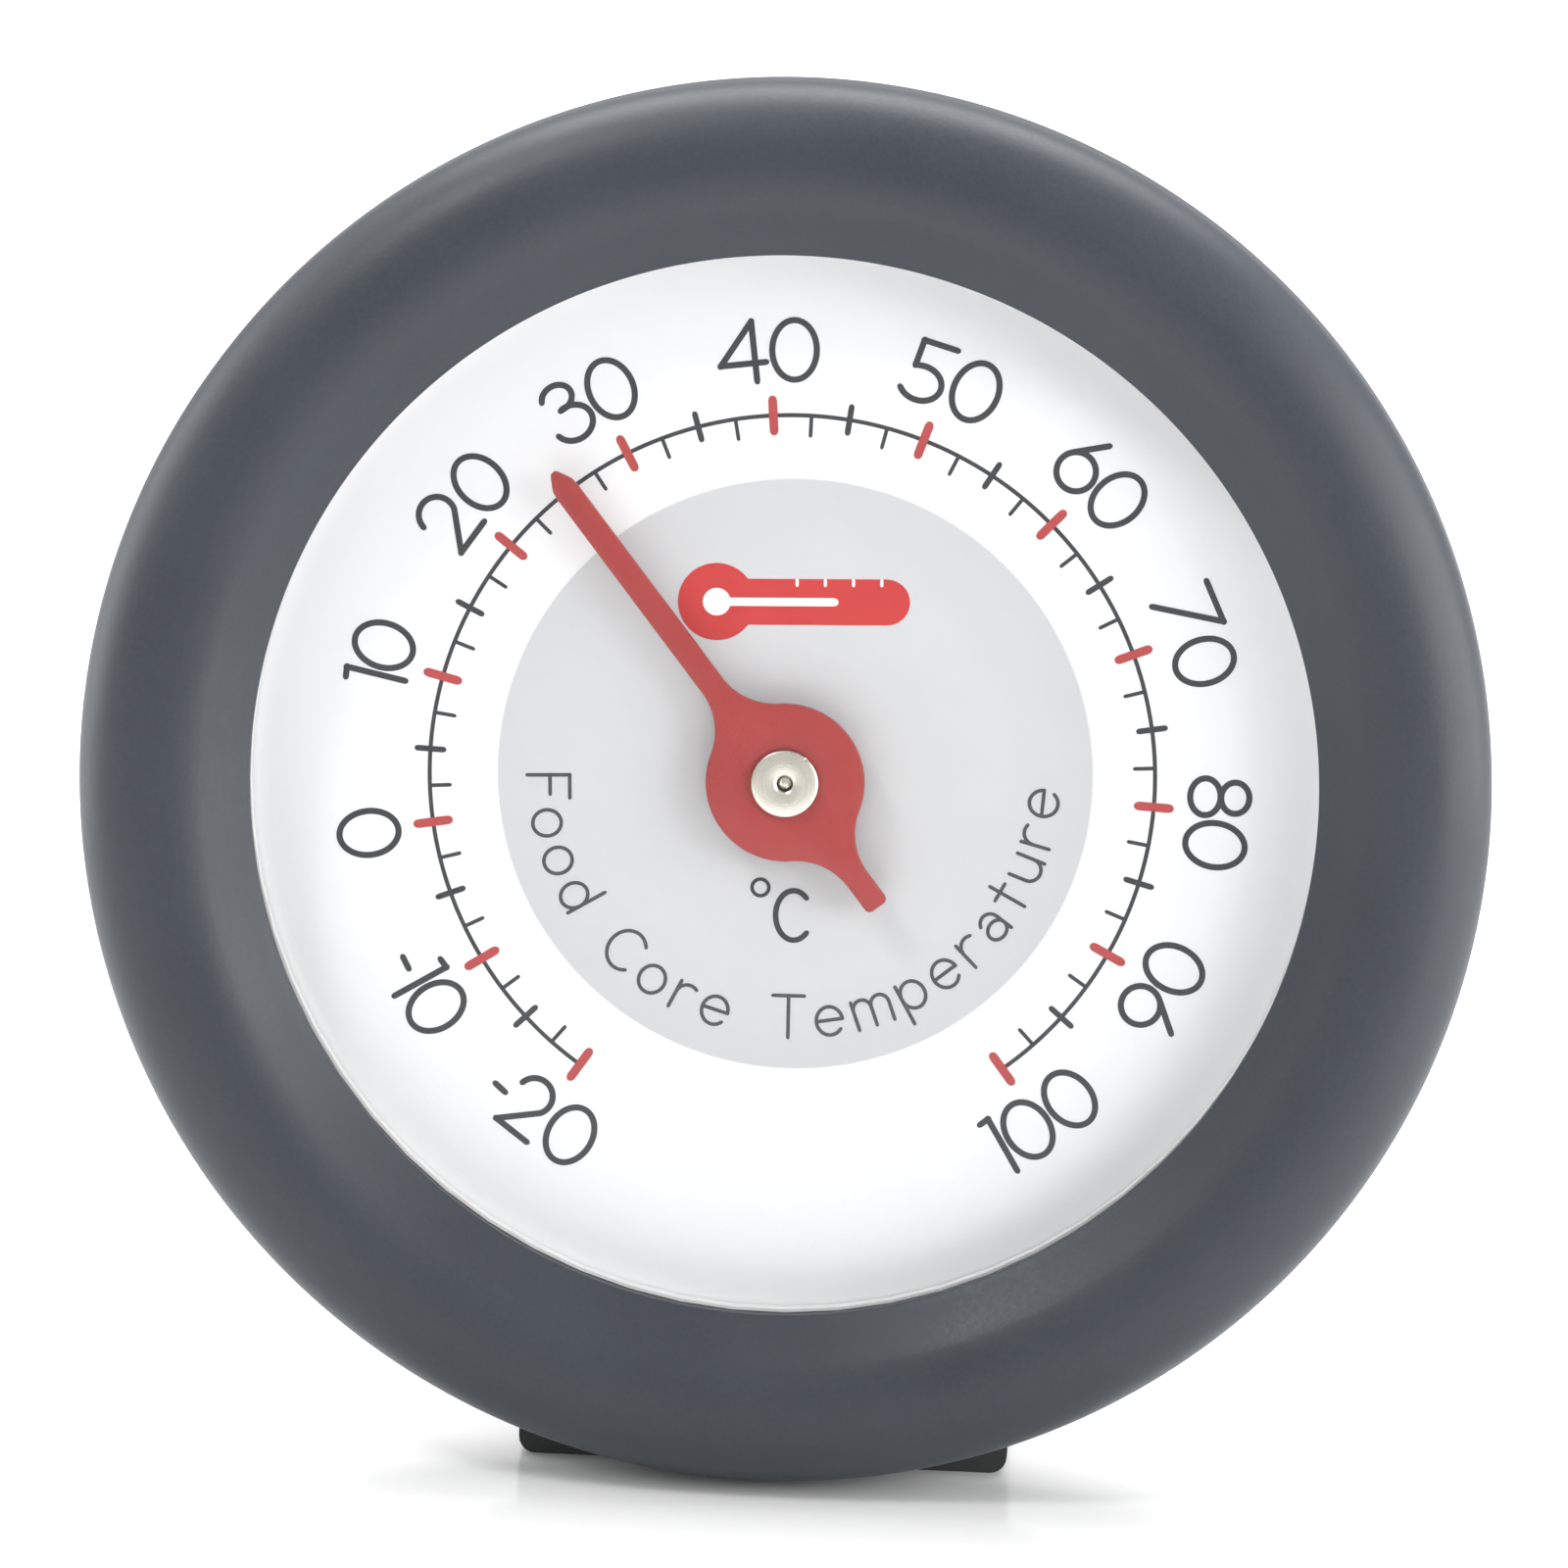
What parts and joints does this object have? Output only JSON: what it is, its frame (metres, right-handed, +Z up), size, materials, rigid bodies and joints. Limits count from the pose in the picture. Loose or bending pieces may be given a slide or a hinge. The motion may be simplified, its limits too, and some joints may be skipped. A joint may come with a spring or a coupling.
{
  "type": "dial probe thermometer",
  "caption": "Round dial food thermometer with a soft grip ring, a red pointer and a thin bimetal stem, lying in a grey sheath that has a flat foot behind the head.",
  "frame": {"origin": "middle of the footprint, on the table", "axes": "+Z up, +Y from the dial back towards the tail of the sheath, +X to the right as the dial is read"},
  "size_m": [0.05, 0.1534, 0.0498],
  "materials": {
    "sheath_plastic": "dark grey moulded plastic",
    "stainless": "satin stainless steel",
    "spring_steel": "spring strip",
    "brass": "turned brass",
    "grip_soft": "soft satin grey",
    "lens_clear": "clear moulded lens",
    "gasket_rubber": "black rubber",
    "dial_white": "white enamel, printed",
    "spacer_white": "white moulded plastic",
    "pointer_red": "red lacquer",
    "bush_nickel": "turned and nickel plated"
  },
  "bodies": {
    "sheath": {"sheath_foot": "sheath_plastic", "sheath_sleeve": "sheath_plastic"},
    "probe": {"stem_tube": "stainless", "stem_tip": "stainless", "stem_ferrule": "brass", "calibration_nut": "stainless", "friction_washer": "spring_steel", "upper_guide": "brass", "lower_guide": "brass", "bimetal_coil": "spring_steel", "coil_anchor": "brass"},
    "head": {"grip_ring": "grip_soft", "case_cup": "stainless", "lens": "lens_clear", "lens_snap_ring": "spring_steel", "lens_gasket": "gasket_rubber", "dial_plate": "dial_white", "dial_spacer": "spacer_white", "dial_seat_ring": "spacer_white"},
    "movement": {"pointer": "pointer_red", "pointer_bush": "bush_nickel", "pointer_shaft": "stainless", "coil_collar": "brass"}
  },
  "joints": [
    {"name": "probe_slide", "type": "slide", "parent": "sheath", "child": "probe", "axis": [0, -0.99, 0.1409], "range_m": [0, 0.13]},
    {"name": "head_turn", "type": "hinge", "parent": "probe", "child": "head", "pos_m": [0, -0.07127, 0.02506], "axis": [0, 0.99, -0.1409], "continuous": true},
    {"name": "pointer_turn", "type": "hinge", "parent": "probe", "child": "movement", "pos_m": [0, -0.07127, 0.02506], "axis": [0, 0.99, -0.1409], "range_deg": [-108, 180], "stiffness_Nm_per_rad": 0.0003}
  ]
}
